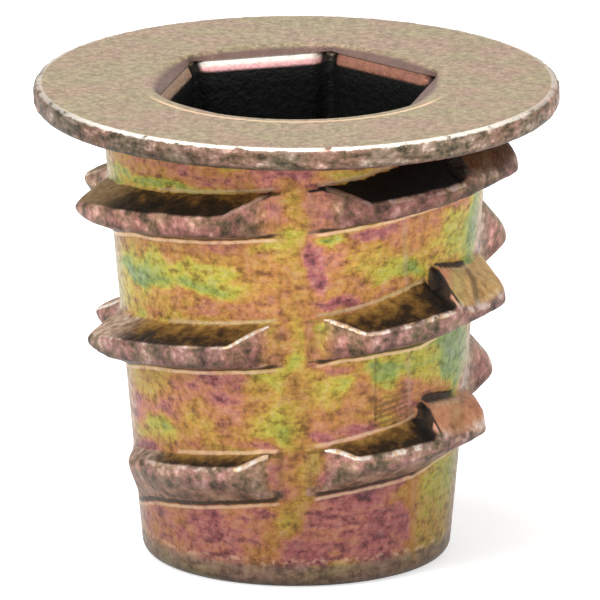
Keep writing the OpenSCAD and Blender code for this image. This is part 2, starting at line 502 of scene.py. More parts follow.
    facet = b.math("SMOOTH_MIN", flatCut("Facet", 1.2, 0.0), flatCut("Side facet", 0.4, 0.6), 0.05)
    # how far a point is inside the lip's line; the ridge falls away steeply outside
    lipLine = (size["Lip height"] - 0.5 * early - 0.0245 * parting - above) * 0.83
    inLip = b.math("MINIMUM", facet - size["Lip"], lipLine)
    facet = b.math("SMOOTH_MIN", facet, size["Lip"] + inLip * 5.0, 0.06)
    facet = b.mix(b.math("GREATER_THAN", parting, 45.0), facet, (size["Rear flank"] - above) * 0.93)
    upper = b.mix(pastStep * (1.0 - b.step(angle, 120.0, 150.0)), upper, facet)
    byLip = present * onRight * b.step(parting - stepAt, 0.0, 7.0) * b.step(30.0 - parting, 0.0, 14.0)
    wedge = b.clamp(1.0 - abs(inLip + 0.13) / 0.24) * byLip
    fold = 1.0 - b.step(abs(parting - 10.0 - 8.0 * level), 0.7, 2.2)

    rounding = size["Edge round"] + size["Side round"] * nearSide
    ridge = b.math("SMOOTH_MIN", upper, lower, size["Edge round"])
    ridge = b.math("SMOOTH_MIN", ridge, depth + rag, rounding)
    ridge = b.math("SMOOTH_MIN", ridge, endCut, rounding)
    ridge = b.math("SMOOTH_MAX", ridge, 0.0, size["Foot round"]) * present
    standing = b.step(ridge, 0.02, 0.12) * b.math("MAXIMUM", body, under)

    # small relief on the land: a swelling over the ridge, the parting line and the stepped panel
    over = above - rootTop
    swelling = (1.0 - b.step(abs(over - 0.2), 0.06, 0.24)) * fadeBefore * onRight * present * 0.07
    toSeam = abs(b.mix(front, -x, x) - size["Seam place"] + size["Seam lean"] * height)
    seam = (1.0 - b.step(toSeam, 0.03, 0.1)) * b.step(aside, 8.0, 12.0) * (1.0 - standing)
    inPanel = b.step(x - size["Panel left"], 0.0, 0.05) * b.step(size["Panel right"] - x, 0.0, 0.05)
    inPanel = inPanel * front * b.step(height - size["Panel bottom"], 0.0, 0.05)
    inPanel = inPanel * b.math("LESS_THAN", height, size["Panel top"])
    sunk = (size["Terrace top"] - height) / size["Terrace step"]
    terrace = b.clamp(b.math("FLOOR", sunk) + b.step(b.math("FRACT", sunk), 0.0, 0.4), 0.0, 4.0)
    relief = swelling - wedge * 0.08 + seam * size["Seam height"] + (lumps + fine) * size["Skin"]
    relief = relief + inPanel * (terrace * size["Terrace rise"] - size["Panel depth"])

    # what each point is part of, for the finish
    least = b.math("MINIMUM", b.math("MINIMUM", upper, lower), b.math("MINIMUM", endCut, depth))

    def partOf(value, soft):
        return b.clamp(1.0 - (value - least) / soft) * standing

    marks = {
        "crest": partOf(depth, 0.6),
        "flank": partOf(upper, 0.6) * (1.0 - pastStep),
        "facet": partOf(upper, 0.3) * pastStep,
        "side": 1.0 - b.step(toSide - 4.0 * (1.0 - b.step(height, 5.0, 7.0)), 26.0, 42.0),
        "belly": partOf(lower, 0.6),
        "cutFace": partOf(endCut, 0.6) * (1.0 - onFoot),
        "foot": partOf(endCut, 0.1) * onFoot,
        "tall": b.clamp((above + crestLow) / (crestTop + crestLow)),
        "share": ridge / depth,
        "over": over,
        "under": -rootLow - above,
        "span": present * b.step(strip, 5.5, 7.5),
        "before": b.clamp(stepAt - parting, -9.0, 9.0),
        "wedge": wedge,
        "lip": b.clamp(1.0 - abs(inLip - 0.04) / 0.12) * byLip,
        "fold": fold * pastStep * standing,
        "seam": seam,
    }

    worked = blank["tipRadius"] + blank["taper"] * height + ridge + relief * (1.0 - standing)
    outer = b.mix(under, worked, worked + (radius - worked) * share)

    # socket: distance to the flats at this angle, with rounded relief grooves in the corners
    toCorner = abs(b.math("FLOORED_MODULO", angle - size["Hex turn"] + 30.0, 60.0) - 30.0)
    secant = 1.0 / cosine(30.0 - toCorner)
    mouthFlat = blank["hexFlats"] / 2 + blank["hexBevel"]
    dish = b.mix(share, radius, mouthFlat * secant)
    dishZ = blank["length"] - blank["dishDepth"] * share
    relieved = size["Corner relief"]
    cornerR = radius / math.cos(math.pi / 6) - relieved * 0.5
    aslant = cornerR * sine(toCorner)
    bulge = b.math("SQRT", b.math("MAXIMUM", relieved * relieved - aslant * aslant, 0.0))
    groove = b.math("GREATER_THAN", relieved, aslant) * (cornerR * cosine(toCorner) + bulge)
    hexRadius = b.math("MAXIMUM", radius * secant, groove)
    floorR = b.mix(share, blank["hexFlats"] / 2 * secant, blank["boreRadius"])
    floorZ = z - blank["floorCone"] * share

    # machine thread: sharp roots outwards, flats inwards, fading at both ends of the bore
    phase = b.math("FLOORED_MODULO", (z + 20.0) / size["Machine pitch"] - angle / 360.0, 1.0)
    tooth = b.clamp((0.5 - abs(phase - 0.5)) * 2.35 - 0.16)
    fade = b.step(z, 0.45, 1.2) * b.step(z, 10.25, 9.6)
    bore = radius + tooth * size["Machine depth"] * fade

    atRim = b.step(radius, 8.25, 8.6)
    newR = radius + atRim * (lumps * 0.05 + fine * size["Rim chips"])
    newR = b.mix(b.math("MAXIMUM", body, under), newR, outer)
    for name, inner in (("dish", dish), ("hex", hexRadius), ("floor", floorR), ("bore", bore)):
        newR = b.mix(inZone(name), newR, inner)
    newZ = b.mix(inZone("dish"), z + atRim * fine * 0.06 * (1.0 - under), dishZ)
    newZ = b.mix(inZone("floor"), newZ, floorZ)
    moved = b.add("ShaderNodeCombineXYZ", {}, {
        0: x * newR / radius * mm, 1: y * newR / radius * mm, 2: newZ * mm})

    form = blankForm
    for name, value in marks.items():
        settings = {"data_type": "FLOAT", "domain": "POINT"}
        form = b.add("GeometryNodeStoreNamedAttribute", settings, {
            "Geometry": form, "Name": name + "Mark", "Value": value})
    form = b.add("GeometryNodeSetPosition", {}, {"Geometry": form, "Position": moved})
    form = b.add("GeometryNodeRealizeInstances", {}, {0: form})
    form = b.add("GeometryNodeSetMaterial", {}, {0: form, "Material": material})
    b.add("NodeGroupOutput", {}, {0: form})
    return tree


def applyRule(piece, tree, values, material):
    # sets the rule's inputs, takes the plain mesh that it gives, and lets the modifier go
    rule = piece.modifiers.new("rule", "NODES")
    rule.node_group = tree
    for item in tree.interface.items_tree:
        if item.in_out == "INPUT" and item.name in values:
            rule[item.identifier] = values[item.name]
        elif item.in_out == "INPUT" and item.name == "Material":
            rule[item.identifier] = material
    bpy.context.view_layer.update()
    graph = bpy.context.evaluated_depsgraph_get()
    data = bpy.data.meshes.new_from_object(piece.evaluated_get(graph))
    piece.modifiers.remove(rule)
    old = piece.data
    piece.data = data
    data.name = piece.name
    bpy.data.meshes.remove(old)
    return piece


# the coating's tints, as places on its ramp of colours from thin to thick
tints = {"purple": 0.02, "magenta": 0.1, "pink": 0.2, "salmon": 0.28, "orange": 0.38,
         "gold": 0.52, "straw": 0.6, "lime": 0.7, "green": 0.82, "teal": 0.96}
film = {
    "ground": 0.42,          # the tint between the stains, and its weight against theirs
    "groundWeight": 0.09,
    "bend": 0.35,            # how far noise moves a stain's outline, in mm
    "fineBend": 0.16,
    "reach": 9,              # a stain's pull ends at the square root of this many widths
    "lowest": 4.9,           # only the outside of the body is stained: least radius and greatest height
    "highest": 15.3,
}
stains = [
    # tint, angle, height, half-width in degrees, half-height in mm
    # under the flange, and the front strip's upper end
    ("orange", -55, 14.2, 14, 0.3), ("salmon", -33, 14.3, 12, 0.25), ("green", -48, 13.75, 16, 0.12),
    ("pink", -14, 14.3, 7, 0.25), ("purple", -4, 14.6, 6, 0.2), ("gold", 14, 14.45, 8, 0.15),
    ("pink", -7, 13.4, 3.5, 0.7), ("gold", -2, 13.1, 2.4, 0.7), ("salmon", 4, 13.4, 2, 0.7),
    ("pink", 9, 13.2, 4, 0.6), ("lime", -4, 12.2, 3.6, 0.3), ("lime", -9, 11.9, 4, 0.2),
    ("magenta", 5.5, 12.0, 2, 0.5), ("purple", 6.3, 11.2, 2, 0.6), ("gold", 1, 11.5, 2, 0.6),
    ("orange", -2, 10.8, 3, 0.5), ("orange", 2, 10.1, 4, 0.4),
    # left, between the upper two ridges
    ("orange", -54, 11.3, 14, 0.22), ("orange", -38, 11.55, 14, 0.16), ("salmon", -24, 11.8, 10, 0.14),
    ("salmon", -17, 12.05, 8, 0.15), ("orange", -13, 10.6, 6, 0.5), ("orange", -44, 11.45, 12, 0.14),
    ("lime", -46, 10.9, 7, 0.22), ("lime", -37, 11.05, 7, 0.25), ("lime", -27, 10.95, 6, 0.25),
    ("green", -28, 10.35, 9, 0.22), ("green", -42, 10.45, 9, 0.22), ("teal", -60, 10.3, 8, 0.4),
    ("gold", -64, 11.0, 6, 0.4), ("orange", -14, 11.2, 7, 0.5), ("orange", -30, 9.85, 20, 0.15),
    ("gold", -52, 9.7, 14, 0.2), ("straw", -68, 9.6, 6, 0.3), ("salmon", -18, 9.7, 10, 0.15),
    # right, between the upper two ridges
    ("teal", 12, 12.25, 5, 0.15), ("purple", 22, 12.3, 7, 0.15), ("pink", 32, 12.3, 5, 0.3),
    ("salmon", 13, 11.6, 4, 0.4), ("salmon", 38, 12.0, 5, 0.5), ("gold", 22, 11.4, 6, 0.4),
    ("lime", 28, 11.1, 5, 0.25), ("orange", 33, 11.7, 4, 0.3), ("green", 37, 10.95, 4, 0.18),
    ("orange", 15, 10.9, 5, 0.3), ("salmon", 49, 12.2, 3, 0.3), ("gold", 46, 11.4, 4, 0.4),
    ("straw", 54, 11.6, 5, 0.5), ("lime", 58, 12.2, 6, 0.3), ("lime", 63, 11.3, 5, 0.5),
    ("teal", 72, 11.5, 4, 0.9), ("gold", 50, 11.1, 4, 0.2), ("orange", 25, 10.45, 12, 0.15),
    ("magenta", 12, 10.0, 6, 0.12), ("salmon", 24, 10.15, 6, 0.1),
    # the front strip's middle
    ("gold", -1, 9.0, 2, 0.9), ("orange", -5, 8.8, 2, 0.8), ("salmon", 4.5, 8.9, 1.6, 0.9),
    ("green", -2, 8.0, 2, 0.3), ("gold", -2, 6.8, 4, 0.8), ("lime", -6, 7.5, 2, 0.4),
    ("orange", 2, 5.2, 3, 0.3),
    # left, below the middle ridge
    ("gold", -62, 6.6, 12, 0.5), ("lime", -58, 5.0, 6, 0.25), ("green", -52, 5.1, 4, 0.15),
    ("pink", -38, 6.9, 6, 0.3), ("pink", -25, 6.7, 6, 0.6), ("magenta", -27, 7.3, 8, 0.12),
    ("salmon", -42, 6.4, 5, 0.3), ("orange", -33, 6.0, 6, 0.4), ("gold", -36, 5.6, 6, 0.3),
    ("pink", -18, 6.3, 4, 0.5), ("orange", -22, 5.5, 6, 0.3), ("gold", -13, 6.6, 3.5, 0.7),
    ("lime", -11, 7.5, 3, 0.2), ("lime", -10, 5.7, 5, 0.25), ("lime", -4, 5.6, 4, 0.3),
    ("pink", -17, 4.95, 7, 0.12), ("orange", -45, 5.3, 6, 0.3), ("straw", -66, 4.6, 8, 0.2),
    # right, below the middle ridge
    ("pink", 10, 7.75, 6, 0.1), ("gold", 6, 7.0, 3, 0.6), ("lime", 13, 7.15, 5, 0.3),
    ("lime", 11, 6.6, 3, 0.15), ("orange", 16, 6.4, 5, 0.4), ("orange", 24, 6.7, 3, 0.5),
    ("salmon", 12, 5.7, 5, 0.3), ("magenta", 20, 5.55, 5, 0.18), ("purple", 9, 5.35, 3, 0.12),
    ("green", 33, 7.6, 6, 0.25), ("green", 31, 7.2, 4, 0.2), ("gold", 34, 6.6, 5, 0.3),
    ("straw", 36, 7.9, 5, 0.1), ("lime", 46, 7.6, 4, 0.3), ("lime", 52, 7.3, 5, 0.3),
    ("teal", 60, 7.3, 5, 0.5), ("teal", 70, 7.2, 6, 0.8), ("orange", 47, 6.5, 5, 0.25),
    ("orange", 58, 6.4, 5, 0.15),
    # the front strip's lower end
    ("orange", 0, 4.4, 2, 0.8), ("lime", 5, 4.2, 3, 0.3), ("gold", 3, 3.9, 3, 0.4),
    ("pink", -6, 4.4, 3, 0.5), ("salmon", -4, 3.4, 3, 0.3), ("gold", 2, 3.1, 3, 0.2),
    ("gold", 0, 2.7, 2.5, 0.4),
    # around the tip
    ("salmon", -62, 1.8, 14, 0.6), ("orange", -48, 2.2, 10, 0.3), ("magenta", -33, 2.1, 7, 0.5),
    ("pink", -20, 1.9, 8, 0.5), ("pink", -14, 2.6, 5, 0.2), ("pink", -38, 1.2, 12, 0.4),
    ("magenta", 5, 1.3, 5, 0.25), ("pink", 14, 2.5, 8, 0.5), ("magenta", 30, 2.1, 8, 0.6),
    ("purple", 41, 2.0, 2.5, 0.5), ("magenta", 30, 1.0, 6, 0.3), ("pink", 12, 1.6, 6, 0.3),
    ("straw", 14, 0.7, 10, 0.15), ("orange", 47, 2.6, 2, 0.8), ("gold", 53, 2.6, 4, 0.8),
    ("lime", 62, 3.0, 6, 0.6), ("gold", 57, 1.5, 6, 0.5), ("straw", 70, 2.0, 6, 0.8),
    ("green", 72, 3.2, 5, 0.4),
]


def filmAt(x, y, z):
    # the coating at a point: the stains that reach it over a slow noise, all bent a little
    bent = [noise.noise(Vector((x + far, y, z)) * 0.9) * film["bend"]
            + noise.noise(Vector((x, y + far, z)) * 2.6) * film["fineBend"] for far in (0, 31, 67)]
    x, y, z = x + bent[0], y + bent[1], z + bent[2]
    angle = math.degrees(math.atan2(x, -y))
    slow = noise.noise(Vector((x * 0.3, y * 0.3, z * 0.55 + 7))) * 0.5
    slow += noise.noise(Vector((x, y, z * 1.8)) * 0.7) * 0.3
    total, weight = (film["ground"] + slow) * film["groundWeight"], film["groundWeight"]
    for tint, a, h, wide, tall in stains:
        reach = (((angle - a + 180) % 360 - 180) / wide) ** 2 + ((z - h) / tall) ** 2
        if reach < film["reach"]:
            w = math.exp(-reach)
            total, weight = total + tints[tint] * w, weight + w
    return total / weight


def paintFilm(piece):
    layer = piece.data.attributes.new("film", "FLOAT", "POINT")
    for vert, slot in zip(piece.data.vertices, layer.data):
        x, y, z = vert.co / mm
        stained = math.hypot(x, y) > film["lowest"] and z < film["highest"]
        slot.value = filmAt(x, y, z) if stained else 0.5


finish = {
    # ramps of colours, as pairs of place and colour
    "film": [(0.0, (0.29, 0.11, 0.12)), (0.1, (0.4, 0.12, 0.125)), (0.2, (0.49, 0.17, 0.15)),
             (0.28, (0.55, 0.22, 0.12)), (0.38, (0.5, 0.22, 0.065)), (0.52, (0.54, 0.32, 0.06)),
             (0.66, (0.5, 0.44, 0.06)), (0.8, (0.27, 0.35, 0.08)), (1.0, (0.2, 0.29, 0.17))],
    "crestWearAndShade": [(0.26, (0.05, 0.038, 0.024)), (0.4, (0.165, 0.115, 0.08)), (0.5, (0.3, 0.185, 0.14)),
             (0.6, (0.42, 0.28, 0.215)), (0.76, (0.76, 0.6, 0.5))],
    "rim": [(0.26, (0.04, 0.03, 0.02)), (0.4, (0.13, 0.1, 0.06)), (0.5, (0.24, 0.17, 0.11)),
            (0.6, (0.34, 0.24, 0.18)), (0.76, (0.72, 0.58, 0.46))],
    "khaki": [(0.28, (0.18, 0.135, 0.08)), (0.5, (0.285, 0.217, 0.137)), (0.72, (0.4, 0.31, 0.205))],
    "pocketShade": [(0.2, (0.002, 0.002, 0.001)), (0.38, (0.035, 0.017, 0.006)), (0.5, (0.15, 0.075, 0.018)),
               (0.68, (0.38, 0.21, 0.05))],
    "facet": [(0.3, (0.3, 0.16, 0.05)), (0.45, (0.6, 0.35, 0.13)), (0.58, (0.72, 0.47, 0.18)),
              (0.75, (0.85, 0.64, 0.3))],
    "shoulder": [(0.22, (0.1, 0.065, 0.04)), (0.34, (0.3, 0.19, 0.13)), (0.46, (0.5, 0.34, 0.25)),
                 (0.6, (0.7, 0.55, 0.43))],
    "belly": [(0.3, (0.06, 0.034, 0.02)), (0.5, (0.22, 0.12, 0.075)), (0.7, (0.4, 0.24, 0.16))],
    "heightShade": [(0.0, (0.1, 0.09, 0.09)), (0.014, (0.36, 0.34, 0.34)), (0.05, (0.6, 0.58, 0.58)),
             (0.2, (0.66, 0.64, 0.64)), (0.3, (0.78, 0.77, 0.77)), (0.45, (0.88, 0.88, 0.88)),
             (0.7, (1.0, 1.0, 1.0)), (0.93, (1.0, 1.0, 1.0)), (0.95, (0.6, 0.54, 0.5))],
    # plain colours
    "cream": (0.85, 0.58, 0.36),
    "dimCream": (0.5, 0.38, 0.22),
    "sliver": (0.85, 0.42, 0.28),
    "white": (0.92, 0.86, 0.76),
    "black": (0.012, 0.008, 0.005),
    "rootDark": (0.045, 0.024, 0.008),
    "sootAndShade": (0.12, 0.065, 0.025),
    "greySoot": (0.23, 0.17, 0.12),
    "footPink": (0.4, 0.2, 0.13),
    "limb": (0.5, 0.42, 0.33),
    "tip": (0.3, 0.225, 0.165),
    "olive": (0.17, 0.11, 0.035),
    "ledge": (0.1, 0.055, 0.048),
    "ledgeTan": (0.18, 0.11, 0.085),
    "barLeft": (0.8, 0.42, 0.42),
    "barRight": (0.27, 0.115, 0.075),
    "barSide": (0.36, 0.23, 0.15),
    "socket": (0.006, 0.007, 0.006),
    "umber": (0.16, 0.085, 0.026),
    "seamRust": (0.6, 0.3, 0.1),
    "seamGrey": (0.42, 0.31, 0.22),
    # dyes, which the colour under them is multiplied by
    "rosy": (1.08, 0.86, 0.94),
    "mossy": (0.92, 0.96, 0.8),
    "ruddy": (1.06, 0.8, 0.74),
    "greenish": (0.98, 1.02, 0.95),
    "pinkish": (1.04, 0.94, 1.0),
    "rimPink": (1.12, 0.9, 0.9),
    "barStain": (0.55, 0.45, 0.42),
    "facetPink": (0.98, 0.68, 0.9),
    "facetGreen": (0.75, 0.92, 0.8),
    "facetShadeUnderFlange": (0.13, 0.065, 0.03),
}


def castFinish(f):
    material = bpy.data.materials.new("yellowChromate")
    material.use_nodes = True
    tree = material.node_tree
    tree.nodes.clear()
    b = Bench(tree)
    place = b.add("ShaderNodeTexCoord", out="Object") / mm
    x, y, z = b.split(place)
    radius = b.math("SQRT", x * x + y * y)

    def mark(name):
        return b.add("ShaderNodeAttribute", {"attribute_name": name}, out="Fac")

    def edged(name):
        # a part of a ridge, with a crisp edge halfway down its mark's slope
        return b.step(mark(name + "Mark"), 0.35, 0.65)

    def ramp(name, value):
        return b.add("ShaderNodeValToRGB", {"stops": f[name]}, {0: value})

    def lineAt(value, half, soft):
        return 1.0 - b.step(abs(value), half, half + soft)

    def shade(colour, value):
        # colour times a number
        return b.add("ShaderNodeVectorMath", {"operation": "SCALE"}, {0: colour, "Scale": value})

    def stretched(x, y, z):
        return b.add("ShaderNodeVectorMath", {"operation": "MULTIPLY"}, {0: place, 1: (x, y, z)})

    flank, facet, belly = edged("flank"), edged("facet"), edged("belly")
    crest, cutFace = b.step(mark("crestMark"), 0.7, 0.95), b.step(mark("cutFaceMark"), 0.6, 0.9)
    foot, share, tall, over, below, span = [mark(name + "Mark") for name in (
        "foot", "share", "tall", "over", "under", "span")]
    before, wedge, lip, fold, seam, side = [mark(name + "Mark") for name in (
        "before", "wedge", "lip", "fold", "seam", "side")]
    drift = b.noise(place, 0.6, 2.0, 0.5)
    blotch = b.noise(place, 1.7, 3.0, 0.55)
    streak = b.noise(stretched(0.8, 0.8, 2.2) + 5.0, 1.7, 3.0, 0.6)
    mottle = b.noise(place + 11.0, 3.6, 3.0, 0.6)
    grain = b.noise(place + 23.0, 8.0, 3.0, 0.6)
    upright = b.noise(stretched(2.2, 2.2, 0.5), 2.0, 3.0, 0.6)
    onRight = b.step(x, 0.0, 1.0)

    # land: the coating's colour with soot and light flecks, and a painted pale sheen on the limb at the
    # left and the right
    tone = mark("film") + (blotch - 0.5) * 0.3 + (streak - 0.5) * 0.4 + (grain - 0.5) * 0.16
    colour = ramp("film", tone)
    colour = b.tint(b.step(streak, 0.5, 0.66) * 0.36, colour, f["sootAndShade"])
    colour = b.tint(b.step(mottle, 0.5, 0.66) * 0.36, colour, f["greySoot"])
    light = 1.0 + (mottle - 0.5) * 2.4 + (streak - 0.5) * 1.9 + (grain - 0.5) * 0.9
    sideways = abs(x) / radius
    colour = shade(colour, b.clamp(light, 0.42, 2.0) * (0.9 + 0.1 * b.step(sideways, 0.07, 0.13)))
    ragged = b.step(foot + (upright - 0.5) * 1.6, 0.4, 0.8)
    colour = b.tint(ragged * 0.3, colour, b.tint(b.step(upright, 0.45, 0.6), f["footPink"], f["sootAndShade"]))
    # painted sheen: the land turns paler at the limb on the left and the right, where light glances off
    limbSheen = shade(f["limb"], b.clamp(light, 0.6, 1.4))
    colour = b.tint(b.step(sideways, 0.93, 1.0) * 0.7, colour, limbSheen)
    colour = b.tint(b.step(0.95 - z, 0.0, 0.3) * 0.75, colour, shade(f["tip"], b.clamp(light, 0.5, 1.7)))
    tipLine = lineAt(z - 0.92 + (blotch - 0.5) * 0.4, 0.03, 0.07) * b.step(mottle, 0.42, 0.6)
    colour = b.tint(tipLine * 0.5, colour, f["cream"])
    seamColour = b.tint(b.step(z, 3.0, 5.0), f["seamRust"], f["seamGrey"])
    colour = b.tint(seam * (0.1 + mottle * 0.5), colour, seamColour)

    # the stepped panel: its left edge and the shaded steps of its terraces
    left, right = casting["Panel left"], casting["Panel right"]
    low, high = casting["Panel bottom"], casting["Panel top"]
    inPanel = b.step(x, left, left + 0.04) * b.step(right - x, 0.0, 0.04)
    inPanel = inPanel * b.step(z, low, low + 0.04) * b.step(high - z, 0.0, 0.04)
    inPanel = inPanel * b.math("LESS_THAN", y, 0.0) * (1.0 - share)
    sunk = casting["Terrace top"] + (x - left) * 0.22 - z + (blotch - 0.5) * 0.3
    sunk = sunk / casting["Terrace step"]
    riser = lineAt(b.math("FRACT", sunk) - 0.45, 0.12, 0.4)
    riser = riser * b.step(sunk, 0.0, 0.8) * (0.4 + mottle * 0.6)
    edge = lineAt(x - left - 0.06, 0.02, 0.05)
    colour = b.tint(inPanel * b.clamp(riser * 0.92 + edge * 0.4), colour, f["umber"])

    # the flanks of a ridge: dark pockets of painted shade, lit grey-tan towards the side strips, tan
    # facets, and painted brown shade below
    wear = 0.5 + (mottle - 0.5) * 0.6 + (blotch - 0.5) * 0.9 + (grain - 0.5) * 0.3
    nearTip = b.step(5.6 - z, 0.0, 1.0)
    # painted shade: the pockets get darker towards the crest, higher up, just under the flange at the
    # right and near the step
    pocketDepthShade = b.step(share, 0.0, 0.85) * 0.25 + b.step(z, 9.5, 12.6) * 0.12
    pocketDepthShade = pocketDepthShade + b.step(z, 13.3, 14.1) * onRight * 0.5 + b.step(9.0 - before, 0.0, 7.0) * onRight * 0.16
    pocketShade = ramp("pocketShade", 0.6 + (mottle - 0.5) * 0.4 + (blotch - 0.5) * 0.6 - pocketDepthShade)
    greyTan = ramp("shoulder", mottle * 0.8 + (upright - 0.5) * 0.3 + 0.04)
    greyTan = b.tint(b.step(z, 10.5, 11.5) * 0.85, greyTan, shade(f["olive"], 0.3 + mottle * 1.6))
    # painted shade: the bellies under the ridges are painted dark brown, a little lighter near the tip
    colour = b.tint(belly, colour, shade(ramp("belly", wear), 0.75 + nearTip * 0.5))
    colour = b.tint(flank, colour, b.tint(side, pocketShade, greyTan))
    tan = ramp("facet", mottle * 0.6 + blotch * 0.6 - 0.1)
    tan = b.tint(lineAt(x - 5.3, 0.1, 0.3) * 0.7, tan, b.dye(tan, f["facetGreen"]))
    pink = b.clamp(b.step(6.9 - z, 0.0, 1.0) + b.step(5.3 - x, 0.0, 0.4))
    tan = b.tint(pink, tan, b.dye(tan, f["facetPink"]))
    # painted shade: the facets just under the flange turn near black
    tan = b.tint(b.step(z, 12.2, 13.2), tan, b.dye(tan, f["facetShadeUnderFlange"]))
    colour = b.tint(facet, colour, b.tint(b.step(y, 0.0, 0.6), tan, greyTan))

    # painted shade on the step beside the facets, in the gap above their lip and along the fold across
    # them, and a painted highlight on the lip's edge
    # painted shade: the step's wall is painted black
    wall = b.clamp(facet + flank) * b.step(share, 0.08, 0.2)
    belowTop = b.step(12.6 - z, 0.0, 1.0)
    sliver = b.step(share, 0.66, 0.74) * lineAt(before + 0.9, 0.2, 0.5) * belowTop
    inStep = lineAt(before + 0.6, 1.5, 0.6) * wall
    colour = b.tint(inStep * 0.94, colour, b.tint(sliver, f["black"], f["sliver"]))
    # painted shade in the fold's crease
    colour = b.tint(fold * facet * b.step(z, 6.5, 7.5) * 0.75, colour, f["sootAndShade"])
    # painted shade: the tongue by the step and the gap above the lip are painted black
    tongue = lineAt(before, 2.6, 0.6) * lineAt(over - 0.1, 0.8, 0.1) * b.step(share, 0.03, 0.1)
    tongue = tongue * (1.0 - b.step(share, 0.4, 0.6)) * onRight * span
    colour = b.tint(b.clamp(tongue + b.step(wedge, 0.3, 0.6)) * 0.92, colour, f["black"])
    # painted highlight along the lip's edge
    colour = b.tint(b.step(lip, 0.3, 0.9) * (0.3 + mottle * 0.5), colour, f["cream"])

    # its crest and the cut faces at its ends, with painted shade towards the crest's lower edge, on the
    # upper crests at the right and a little on the upper left
    crestWearAndShade = ramp("crestWearAndShade", wear)
    patches = b.step(mottle * 0.4 + drift * 0.6, 0.42, 0.56)
    crestWearAndShade = b.tint(patches, b.dye(crestWearAndShade, f["mossy"]), b.dye(crestWearAndShade, f["rosy"]))
    upRight = b.step(x, 0.5, 3.0) * b.step(z, 12.0, 13.0)
    upLeft = b.step(-x, 0.0, 2.0) * b.step(z, 6.0, 7.0)
    # painted shade: darker towards the crest's lower edge, much darker near the flange at the right, a
    # little darker on the upper left
    depth = 0.62 + b.step(tall, 0.0, 0.6) * 0.45
    crestWearAndShade = shade(crestWearAndShade, depth * (1.0 - 0.42 * upRight) * (1.0 - 0.17 * upLeft))
    crestWearAndShade = shade(crestWearAndShade, 1.0 + nearTip * 0.3)
    ruddy = b.dye(crestWearAndShade, f["ruddy"])
    colour = b.tint(crest, colour, b.tint(b.step(z, 9.5, 12.0) * 0.6, crestWearAndShade, ruddy))
    cutColour = b.tint(b.step(z, 3.5, 6.0) * 0.6, crestWearAndShade, ruddy)
    colour = b.tint(cutFace * b.step(share, 0.0, 0.45), colour, cutColour)

    # painted shade along the lower roots, and painted highlight lines just under them and along the upper
    # roots
    broken = b.step(blotch, 0.4, 0.52)
    colour = b.tint(lineAt(below + 0.09, 0.055, 0.06) * span * 0.95, colour, f["rootDark"])
    rootLight = lineAt(below - 0.09, 0.03, 0.05) * span * (0.25 + mottle * 0.5 + broken * 0.3)
    colour = b.tint(rootLight, colour, f["cream"])
    ridgeTop = lineAt(over - 0.05, 0.03, 0.06) * span * b.step(before, 0.5, 1.5) * (0.25 + mottle * 0.7)
    colour = b.tint(ridgeTop, colour, b.tint(b.step(9.0 - z, 0.0, 1.5), f["dimCream"], f["cream"]))

    # bright nicks where two parts of a ridge meet, part wear and part painted highlight, and painted shade
    # that darkens everything towards the tip and just under the flange
    rimward = b.step(mark("crestMark") * mark("flankMark"), 0.72, 0.9)
    rimward = rimward + b.step(mark("crestMark") * mark("facetMark"), 0.5, 0.85) * 0.5
    slant = b.step(mark("cutFaceMark") * mark("flankMark"), 0.62, 0.85)
    rubbedAndGlinting = b.step(blotch, 0.46, 0.55) * 0.8 + 0.12
    onLeft = b.step(-x, 0.0, 1.5)
    # painted highlight: the nicks on worn crest edges are painted cream and white
    nickAndGlint = b.clamp(rimward) * rubbedAndGlinting * (0.3 + 0.6 * belowTop) * (1.0 - 0.5 * onLeft)
    nickAndGlint = b.clamp(nickAndGlint + slant * (0.15 + 0.75 * belowTop))
    colour = b.tint(nickAndGlint, colour, b.tint(b.step(mottle, 0.42, 0.55), f["cream"], f["white"]))
    # painted shade: darker towards the tip and just under the flange
    colour = b.dye(colour, ramp("heightShade", z / blank["length"]))

    # flange: khaki top, speckled rim with painted shade on its lower edge and its left, and a worn edge
    # with a painted highlight at the front
    khaki = ramp("khaki", 0.5 + (mottle - 0.5) * 0.9 + (grain - 0.5) * 1.1)
    warm = b.step(drift, 0.4, 0.62)
    khaki = b.tint(warm, b.dye(khaki, f["greenish"]), b.dye(khaki, f["pinkish"]))
    rim = ramp("rim", 0.5 + (streak - 0.5) * 1.0 + (mottle - 0.5) * 0.6 + (grain - 0.5) * 0.3)
    rim = b.tint(warm, rim, b.dye(rim, f["rimPink"]))
    # painted shade: the rim is darker on its lower edge and towards the left
    rim = shade(rim, (0.4 + b.step(z, 15.24, 15.45) * 0.6) * (0.58 + b.step(x, -6.5, 6.0) * 0.42))
    flange = b.tint(b.step(radius, 8.44, 8.56), khaki, rim)
    # painted highlight on the worn top edge, strongest at the front
    wornEdgeHighlight = lineAt(radius - 8.53, 0.06, 0.06) * b.step(z, 15.78, 15.86)
    wornEdgeHighlight = wornEdgeHighlight * b.step(blotch, 0.36, 0.46) * (0.3 + 0.7 * b.step(-y, 3.0, 6.5))
    flange = b.tint(wornEdgeHighlight, flange, f["white"])
    colour = b.tint(b.step(z, 15.24, 15.3), colour, flange)

    # socket: grey ledge, a painted highlight on the strips at the mouth with painted shade in the gaps at
    # the corners, and painted shade below
    inMouth = (1.0 - b.step(radius, 4.84, 4.9)) * b.step(z, 12.0, 13.0)
    inSocket = (1.0 - b.step(radius, 5.2, 5.3)) * b.step(z, 10.0, 10.4)
    inBore = (1.0 - b.step(radius, 4.3, 4.45)) * b.step(z, 0.1, 0.4) * b.step(12.0 - z, 0.0, 0.5)
    turned = b.math("DEGREES", b.math("ARCTAN2", x, -y)) - casting["Hex turn"] + 30.0
    corner = lineAt(b.math("FLOORED_MODULO", turned, 60.0) - 30.0, 2.6, 1.6)
